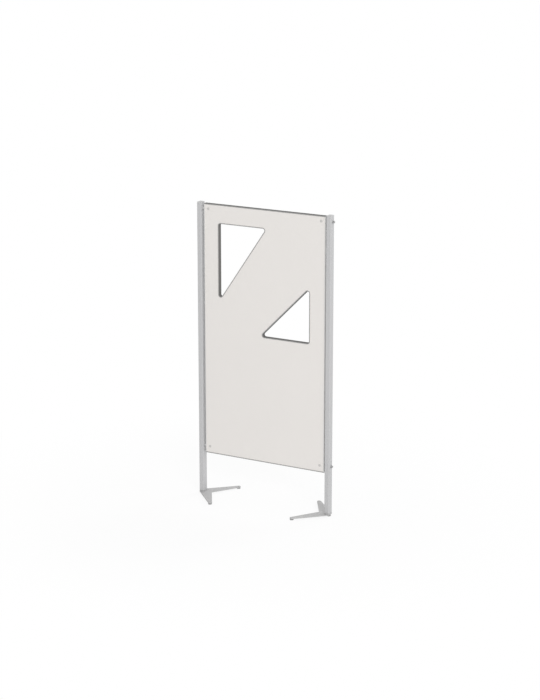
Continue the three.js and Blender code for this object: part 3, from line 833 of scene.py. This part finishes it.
def add_cap(side):
    """Rounded rectangles of changing inset, carried from the plug's hollow out round its end to
    the lid's top."""
    node = f"{side}_post_cap"
    top = span(node)[1][Z]
    seat = span(f"{side}_post")[1][Z]
    end = seat - CAP_PLUG_LENGTH
    plug = POST_WALL + PUSH_GAP
    hollow = plug + CAP_PLUG_WALL
    lid = CAP_DRAFT + CAP_EDGE
    rows = np.concatenate([
        [(hollow, seat), (hollow, end + CAP_HOLLOW_CHAMFER[1])],
        [(hollow - CAP_HOLLOW_CHAMFER[0], end), (plug + CAP_PLUG_CHAMFER[0], end)],
        [(plug, end + CAP_PLUG_CHAMFER[1]), (plug, seat)],
        [(CAP_DRAFT + CAP_LID_CHAMFER, seat), (CAP_DRAFT, seat + CAP_LID_CHAMFER)],
        [(CAP_DRAFT, top - CAP_EDGE - CAP_EDGE_HOLD)],
        arc((lid, top - CAP_EDGE), CAP_EDGE, np.pi, np.pi / 2, steps=6),
        [(lid + CAP_TOP_HOLD, top)],
    ])
    rings = []
    for inset in rows[:, 0]:
        width, depth = 2 * half_post() - 2 * inset
        corner = max(POST_CORNER - inset, CAP_LEAST_CORNER)
        rings.append(tube_ring(width, depth, corner, hold=0.8))
    body = on_axis(shell(stacked(rings, rows[:, 1])), f"{side}_post")
    add_piece(node, body, "cap_plastic")


# Feet


def foot_tip():
    """Centre of the front arm's tip about the post's axis, for arms that point to +X."""
    along_arm = np.array([np.cos(FOOT_ARM_ANGLE), -np.sin(FOOT_ARM_ANGLE)])
    inward = np.array([np.sin(FOOT_ARM_ANGLE), np.cos(FOOT_ARM_ANGLE)])
    return -half_post() + along_arm * FOOT_ARM_REACH + inward * FOOT_TIP_RADIUS


def foot_line(inset):
    """Outline of the V, drawn in by the inset.

    It joins the arcs of corner, tip and notch by straight edges. The tip's arc turns from the
    arm's outer edge, at the arm's angle, to its inner edge, which touches tip and notch."""
    half_width, half_depth = half_post()
    tip = foot_tip()
    to_tip = tip - np.array([FOOT_NOTCH_REACH, 0])
    lean = np.arcsin(FOOT_TIP_RADIUS / np.linalg.norm(to_tip))
    inner = np.arctan2(to_tip[1], to_tip[0]) + lean + np.pi / 2
    outer = -FOOT_ARM_ANGLE - np.pi / 2
    rise = FOOT_CORNER / np.tan(FOOT_ARM_ANGLE / 2 + np.pi / 4)
    corner = (-half_width + FOOT_CORNER, -half_depth + rise)
    bend = (FOOT_NOTCH_REACH + FOOT_NOTCH_RADIUS / np.cos(inner), 0.0)
    lower = np.concatenate([
        arc(corner, FOOT_CORNER - inset, -np.pi, outer, steps=8),
        arc(tip, FOOT_TIP_RADIUS - FOOT_TIP_EASE - inset, outer, inner, steps=36),
    ])
    notch = arc(bend, FOOT_NOTCH_RADIUS + inset, inner - np.pi, -inner - np.pi, steps=14)
    return np.concatenate([lower, notch, (lower * (1, -1))[::-1]])


def foot_body():
    """The V's outline carried up with rounded edges, level faces with openings, and turned walls
    in the openings."""
    top = span("left_foot_plate")[1][Z]
    bottom = top - FOOT_THICKNESS
    base = bottom - BOSS_HEIGHT
    hold = FOOT_EDGE + FOOT_EDGE_HOLD
    round_edge = arc((FOOT_EDGE, bottom + FOOT_EDGE), FOOT_EDGE, 1.5 * np.pi, np.pi, steps=4)
    side = np.concatenate([
        [(hold, bottom)],
        round_edge,
        [(0, bottom + 2 * FOOT_EDGE), (0, top - 2 * FOOT_EDGE)],
        (round_edge * (1, -1) + (0, bottom + top))[::-1],
        [(hold, top)],
    ])
    lines = [foot_line(inset) for inset in side[:, 0]]
    boss = [
        (BOSS_RADIUS, bottom),
        (BOSS_RADIUS, base + BOSS_EDGE),
        (BOSS_RADIUS - BOSS_EDGE_MIDDLE, base + BOSS_EDGE_MIDDLE),
        (BOSS_RADIUS - BOSS_EDGE, base),
        (BOLT_HOLE + STEM_HOLE_CHAMFER, base),
        (BOLT_HOLE, base + STEM_HOLE_CHAMFER),
        (BOLT_HOLE, top - STEM_HOLE_TOP_CHAMFER[1]),
        (BOLT_HOLE + STEM_HOLE_TOP_CHAMFER[0], top),
    ]
    shank = SCREW_RADIUS + PUSH_GAP
    sink = [
        (SCREW_HEAD + PUSH_GAP, bottom),
        (shank, bottom + SCREW_HEAD_HEIGHT),
        (shank, top),
    ]
    tip_x, tip_y = foot_tip()
    stems = [(-MIDDLE_GLIDE_OFFSET, 0), (tip_x, tip_y), (tip_x, -tip_y)]
    screws = [(0, -SCREW_SPREAD), (0, SCREW_SPREAD)]
    openings = [(boss, at) for at in stems] + [(sink, at) for at in screws]
    below = [on_circle(at, rows[0][0], ANGLES) for rows, at in openings]
    above = [on_circle(at, rows[-1][0], ANGLES) for rows, at in openings]
    return together(
        shell(stacked(lines, side[:, 1]), ends=False),
        flat_face(lines[0], below, bottom),
        flat_face(lines[-1], above, top),
        *[placed(turned(rows, ends=False), at=(*at, 0)) for rows, at in openings],
    )


def hex_opening(corner, mouth, floor, into):
    """Rows of a hexagon socket from mouth to floor, with a drilled cone in the floor's middle."""
    six = hexagon(corner)
    return [
        (six + SOCKET_CHAMFER[0], mouth),
        (six, mouth + into * SOCKET_CHAMFER[1]),
        (six, floor),
        (corner * DRILL_SHARE, floor),
        (0, floor + into * DRILL_DEPTH),
    ]


def foot_screw():
    """Countersunk screw: socket, flat head, cone, shank with thread and chamfered tip."""
    low, high = span("left_front_foot_screw")
    face, tip = low[Z], high[Z]
    rows = hex_opening(SCREW_SOCKET, face, face + SCREW_SOCKET_DEPTH, 1)[::-1]
    rows += [(SCREW_HEAD - inset, face + level) for inset, level in SCREW_RIM]
    rows += [(SCREW_RADIUS, face + SCREW_HEAD_HEIGHT)]
    start = face + SCREW_HEAD_HEIGHT + SCREW_NECK
    stop = tip - SCREW_POINT
    rows += thread(SCREW_RADIUS, SCREW_THREAD, SCREW_PITCH, start, stop)
    rows += [(SCREW_RADIUS - SCREW_POINT, tip), (0, tip)]
    return turned(rows)


def add_foot(side):
    """The foot plate, on the right turned half round for its arms to point inwards, and screws."""
    turn = HALF_TURN if side == "right" else None
    body = placed(foot_body(), turn, (middle(f"{side}_post")[X], 0, 0))
    add_piece(f"{side}_foot_plate", body, "silver_paint")
    for place in ("front", "back"):
        node = f"{side}_{place}_foot_screw"
        add_piece(node, on_axis(foot_screw(), node), "zinc_steel")


# Glides


def glide_pad():
    """Moulded pad: rounded disc with a groove on its shoulder and a hollow for the stem's disc.

    Each corner of the turned line has its rounding as the third number."""
    mouth, hollow, roof = NECK_RADIUS + PUSH_GAP, DISC_RADIUS + PUSH_GAP, DISC_TOP + PUSH_GAP
    return turned(rounded([
        (0, 0, 0),
        (PAD_RADIUS, 0, 0.9),
        (PAD_RADIUS, PAD_HEIGHT, 1.7),
        (GROOVE_RADIUS + GROOVE_HALF_WIDTH, PAD_HEIGHT, 0.1),
        (GROOVE_RADIUS, PAD_HEIGHT - GROOVE_DEPTH, 0.15),
        (GROOVE_RADIUS - GROOVE_HALF_WIDTH, PAD_HEIGHT, 0.1),
        (mouth, PAD_HEIGHT, 0.35),
        (mouth, roof, 0.1),
        (hollow, roof, 0.2),
        (hollow, PAD_FLOOR, 0.3),
        (0, PAD_FLOOR, 0),
    ]))


def glide_stem(top):
    """Disc, neck, hexagon with chamfered corners, threaded stem and socket on top.

    A chamfer cuts the hexagon's radius off at a limit that grows away from its faces."""
    six = [(np.minimum(hexagon(HEX_CORNER), limit), rise) for limit, rise in HEX_CHAMFER]
    rows = [
        (0, DISC_BOTTOM),
        (DISC_RADIUS - DISC_CHAMFER, DISC_BOTTOM),
        (DISC_RADIUS, DISC_BOTTOM + DISC_CHAMFER),
        (DISC_RADIUS, DISC_TOP - DISC_CHAMFER),
        (DISC_RADIUS - DISC_CHAMFER, DISC_TOP),
        (NECK_RADIUS + NECK_FILLET, DISC_TOP),
        (NECK_RADIUS, DISC_TOP + NECK_FILLET),
        (NECK_RADIUS, HEX_BOTTOM),
    ]
    rows += [(radius, HEX_BOTTOM + rise) for radius, rise in six]
    rows += [(radius, HEX_TOP - rise) for radius, rise in six[::-1]]
    rows += [(BOLT_RADIUS, HEX_TOP)]
    start, stop = HEX_TOP + STEM_NECK, top - STEM_POINT
    rows += thread(BOLT_RADIUS, THREAD_DEPTH, THREAD_PITCH, start, stop)
    rows += [(BOLT_RADIUS - STEM_POINT, top)]
    rows += hex_opening(STEM_SOCKET, top, top - STEM_SOCKET_DEPTH, -1)
    return turned(rows)


def add_glides(side):
    """Three glides on a foot, each a pad and a stem on the pad's axis."""
    for place in ("middle", "front", "back"):
        glide = f"{side}_{place}_glide"
        pad, stem = f"{glide}_pad", f"{glide}_stem"
        add_piece(pad, on_axis(glide_pad(), pad), "glide_plastic", glide)
        body = on_axis(glide_stem(span(stem)[1][Z]), pad)
        add_piece(stem, body, "bolt_steel", f"{side}_{place}_stem")


# Joints between posts and panel


def connector_bolt(length):
    """Cylindrical head with rounded rim, knurled side and hexagon socket, shank and thread.

    The knurl is the head's radius less a small depth times the square of a cosine of the turn."""
    knurl = HEAD_RADIUS - KNURL_DEPTH * np.cos(KNURLS * ANGLES / 2) ** 2
    rim = (HEAD_RADIUS - HEAD_COLLAR - HEAD_ROUNDING, HEAD_HEIGHT - HEAD_ROUNDING)
    smooth = length - BOLT_THREAD_LENGTH
    fillet, shank_end = BOLT_FILLET
    rows = [(0, -length), (BOLT_RADIUS - BOLT_POINT, -length)]
    rows += thread(BOLT_RADIUS, THREAD_DEPTH, THREAD_PITCH, -length + BOLT_POINT, -smooth)
    rows += [(BOLT_RADIUS, -smooth + BOLT_RUN_OUT), (BOLT_RADIUS, -shank_end)]
    rows += [(BOLT_RADIUS + fillet, 0)]
    rows += [(HEAD_RADIUS - inset, level) for inset, level in HEAD_LOWER_EDGE]
    rows += [(knurl, KNURL_START), (knurl, HEAD_HEIGHT - HEAD_ROUNDING - KNURL_END)]
    rows += [*arc(rim, HEAD_ROUNDING, 0, np.pi / 2, steps=5)]
    rows += hex_opening(SOCKET_CORNER, HEAD_HEIGHT, HEAD_HEIGHT - SOCKET_DEPTH, -1)
    return turned(rows)


def flat_ring(outer, height, edge):
    """A flat ring round a bolt with rounded edges, from level 0 upwards."""
    line = [(BOLT_HOLE, 0), (outer, 0), (outer, height), (BOLT_HOLE, height)]
    return turned(rounded([(*corner, edge) for corner in line]), wrap=True)


def cover_cap():
    """Low crowned cap on a plug.

    The crown falls with the square of the radius and turns down at the rim. Each corner of the
    turned line has its rounding as the third number."""
    radius = np.linspace(0, COVER_RADIUS - COVER_RIM, 8)
    level = COVER_RISE - COVER_CROWN * (radius / COVER_RADIUS) ** 2
    crown = np.stack([radius, level, 0 * radius], 1)
    return turned(rounded([
        (0, -COVER_PLUG, 0),
        (NUT_HOLE - COVER_PLUG_DRAFT, -COVER_PLUG, 0.4),
        (NUT_HOLE, COVER_SHOULDER, 0),
        (COVER_RADIUS, COVER_SHOULDER, 0.15),
        (COVER_RADIUS, COVER_RISE - COVER_SIDE, 0.2),
        *crown[::-1],
    ]))


def add_joint(side, place):
    """One bolted joint, each piece laid onto its own axis at its CAD node's place."""
    sign = SIDES[side]
    name = f"{side}_{place}"
    axis = middle(f"{name}_washer")[1:]
    washer_near, washer_far = side_reach(f"{name}_washer", sign)
    sleeve_near, sleeve_far = side_reach(f"{name}_spacer_sleeve", sign)
    bolt_tip = side_reach(f"{name}_connector_bolt", sign)[0]
    seat = washer_far + PUSH_GAP
    washer = flat_ring(WASHER_RADIUS, washer_far - washer_near, WASHER_EDGE)
    sleeve = flat_ring(SLEEVE_RADIUS, sleeve_far - sleeve_near, SLEEVE_EDGE)
    for kind, body, start, finish in (
        ("washer", washer, washer_near, "bolt_steel"),
        ("spacer_sleeve", sleeve, sleeve_near, "zinc_steel"),
        ("connector_bolt", connector_bolt(seat - bolt_tip), seat, "bolt_steel"),
    ):
        body = placed(body, TO_SIDE[sign], (sign * start, *axis))
        add_piece(f"{name}_{kind}", body, finish)
    for end, face in enumerate(("front", "back")):
        node = f"{name}_{face}_cover"
        spot = middle(node)
        spot[Y] = span(f"{face}_sheet")[end][Y]
        add_piece(node, placed(cover_cap(), TO_FACE[face], spot), "cover_plastic")


# Panel trims


def trim_section(half):
    """The U: distance into the panel from its edge, and depth from the panel's middle.

    The legs' corners have their rounding as the third number, and the web has points for the bolt
    holes."""
    slot = half - TRIM_WALL
    leg = np.array([
        (0, half, 0.9),
        (TRIM_REACH, half, 0.6),
        (TRIM_REACH, slot, 0.3),
        (TRIM_WALL, slot, 0.25),
    ])
    inner = [(TRIM_WALL, depth, 0) for depth in HOLE_LINES]
    outer = [(0, depth, 0) for depth in HOLE_LINES[::-1]]
    return rounded([*leg * (1, -1, 1), *inner, *leg[::-1], *outer])


def straight_trim(section, length, bolts=()):
    """The section carried along X with mitred ends, outer face up, and a hole through the web at
    each bolt."""
    bolts = sorted(bolts)
    stations = np.concatenate([[-length / 2], *[spot + HOLE_LINES for spot in bolts], [length / 2]])
    inset, depth = section.T
    x = np.tile(stations[:, None], (1, len(section)))
    x[0] += inset + TRIM_GAP
    x[-1] -= inset + TRIM_GAP
    grid = np.stack(np.broadcast_arrays(x, depth, -inset), -1)
    on_web = abs(depth) < HOLE_LINES[-1] + SAME
    outer = np.flatnonzero(on_web & (abs(inset) < SAME))
    inner = np.flatnonzero(on_web & (abs(inset - TRIM_WALL) < SAME))[::-1]
    holes = []
    for number, spot in enumerate(bolts):
        rows = 1 + number * len(HOLE_CELLS) + HOLE_CELLS
        holes.append(((rows, outer), (rows, inner), np.array([spot, 0, 0]), BOLT_HOLE, Z))
    return shell(grid, holes=holes)


def add_trims():
    """The section along the panel's four edges and, closed on itself, round each window."""
    low, high = span("left_edge_trim")[0], span("right_edge_trim")[1]
    centre, size = (low + high) / 2, high - low
    section = trim_section(size[Y] / 2)
    across = straight_trim(section, size[X])
    over = placed(across, at=(centre[X], centre[Y], high[Z]))
    under = placed(across, UPSIDE_DOWN, (centre[X], centre[Y], low[Z]))
    add_piece("top_edge_trim", over, "edge_trim")
    add_piece("bottom_edge_trim", under, "edge_trim")
    for side, sign in SIDES.items():
        levels = [middle(f"{side}_{place}_washer")[Z] for place in LEVELS]
        upright = straight_trim(section, size[Z], [sign * (centre[Z] - level) for level in levels])
        edge = high[X] if sign > 0 else low[X]
        body = placed(upright, TO_SIDE[sign], (edge, centre[Y], centre[Z]))
        # The side trims take the lighter trim finish, painted light for the shaded gap beside each
        # post.
        add_piece(f"{side}_edge_trim", body, "side_trim")
    for place, corners in WINDOWS.items():
        lines = np.array([window_line(corners, inset) for inset in section[:, 0]])
        x, z = lines.transpose(2, 1, 0)
        grid = np.stack(np.broadcast_arrays(x, section[:, 1] + centre[Y], z), -1)
        add_piece(f"{place}_window_trim", shell(grid, wrap=True), "edge_trim")


def dress_cad_nodes():
    """CAD nodes whose own shape stays get their finish."""
    kept = {"front_sheet": "panel_sheet", "back_sheet": "panel_sheet", "panel_core": "core_board"}
    for side in SIDES:
        kept[f"{side}_end_block"] = "zinc_steel"
        for place in LEVELS:
            kept[f"{side}_{place}_barrel_nut"] = "zinc_steel"
    for node, name in kept.items():
        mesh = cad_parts[node].data
        mesh.materials.clear()
        mesh.materials.append(FINISHES[name])


for side in SIDES:
    add_post(side)
    add_cap(side)
    add_foot(side)
    add_glides(side)
    for place in LEVELS:
        add_joint(side, place)
add_trims()
dress_cad_nodes()


# Floor, light and camera, with their lengths in metres

FLOOR_HALF = 90.0
FLOOR_COLOUR = (0.93, 0.93, 0.93)
WHITE_START, WHITE_FULL = 0.5, 2.2  # distances from the divider's axis
WHITE_SHARE = 0.88  # at the first of these distances
LAMP_AIM = Vector((0, 0, 0.9))
CAMERA_TURN, CAMERA_RISE = np.radians(29.781), np.radians(14.797)
CAMERA_DISTANCE = 11.803
CAMERA_TARGET = Vector((0.04843, -0.020, 0.96237))
CAMERA_FAR_END = 400.0
FOCAL_PIXELS, LONG_SIDE_PIXELS = 2020.0, 700.0
SENSOR_MILLIMETRES = 36.0


def seen(tree):
    """1 for camera, glossy and transmission rays, otherwise 0."""
    path = add_node(tree, "LightPath").outputs
    rays = calc(tree, "ADD", path["Is Camera Ray"], path["Is Glossy Ray"])
    return calc(tree, "ADD", rays, path["Is Transmission Ray"], clamp=True)


def add_floor():
    """A pale floor. What is seen of it turns to plain white away from the divider, and near it
    keeps a soft shadow."""
    mesh = bpy.data.meshes.new("floor")
    corners = np.array([(-1, -1, 0), (1, -1, 0), (1, 1, 0), (-1, 1, 0)]) * FLOOR_HALF
    mesh.from_pydata(corners.tolist(), [], [[0, 1, 2, 3]])
    made = bpy.data.materials.new("floor")
    made.use_nodes = True
    tree = made.node_tree
    tree.nodes.clear()
    place = add_node(tree, "TexCoord").outputs["Object"]
    away = add_node(tree, "VectorMath", {0: place}, operation="LENGTH").outputs["Value"]
    clear = ramp(
        tree, away, WHITE_START, WHITE_FULL, WHITE_SHARE, 1.0, interpolation_type="SMOOTHSTEP"
    )
    share = calc(tree, "MULTIPLY", seen(tree), clear)
    paint = add_node(tree, "BsdfDiffuse", {"Color": shade(FLOOR_COLOUR)}).outputs[0]
    white = add_node(tree, "Emission", {"Color": (1, 1, 1, 1), "Strength": 1.0}).outputs[0]
    mixed = add_node(tree, "MixShader", {0: share, 1: paint, 2: white}).outputs[0]
    out = add_node(tree, "OutputMaterial")
    tree.links.new(mixed, out.inputs[0])
    mesh.materials.append(made)
    floor = new_object("floor", mesh)


def add_world(strength):
    """Even white light all round, and plain white where it is seen."""
    world = bpy.data.worlds.new("studio")
    bpy.context.scene.world = world
    world.use_nodes = True
    tree = world.node_tree
    back = tree.nodes["Background"]
    back.inputs["Color"].default_value = (1, 1, 1, 1)
    shown = ramp(tree, seen(tree), 0.0, 1.0, strength, 1.0)
    tree.links.new(shown, back.inputs["Strength"])


def aimed(name, data, place, direction):
    """An object at a place, turned so that it looks in a direction."""
    made = new_object(name, data)
    made.location = place
    made.rotation_mode = "QUATERNION"
    made.rotation_quaternion = direction.to_track_quat("-Z", "Y")
    return made


def add_lamp(name, place, size, power):
    """A square area lamp at a place, turned to the divider's middle."""
    data = bpy.data.lights.new(name, "AREA")
    data.shape, data.size, data.energy = "SQUARE", size, power
    aimed(name, data, place, LAMP_AIM - Vector(place))


def add_camera():
    """The photograph's view: a long lens from the front right and from above."""
    level = np.cos(CAMERA_RISE)
    back = Vector((np.sin(CAMERA_TURN) * level, -np.cos(CAMERA_TURN) * level, np.sin(CAMERA_RISE)))
    data = bpy.data.cameras.new("camera")
    data.sensor_fit, data.sensor_width = "AUTO", SENSOR_MILLIMETRES
    data.lens = FOCAL_PIXELS * SENSOR_MILLIMETRES / LONG_SIDE_PIXELS
    data.clip_end = CAMERA_FAR_END
    place = CAMERA_TARGET + back * CAMERA_DISTANCE
    bpy.context.scene.camera = aimed("camera", data, place, -back)


add_floor()
add_world(strength=0.65)
add_lamp("key", place=(19.3, -20.0, 11.6), size=10.4, power=4480.0)
add_lamp("rear", place=(2.6, 7.2, 4.2), size=3.5, power=200.0)
add_camera()
bpy.context.scene.view_settings.view_transform = "Standard"
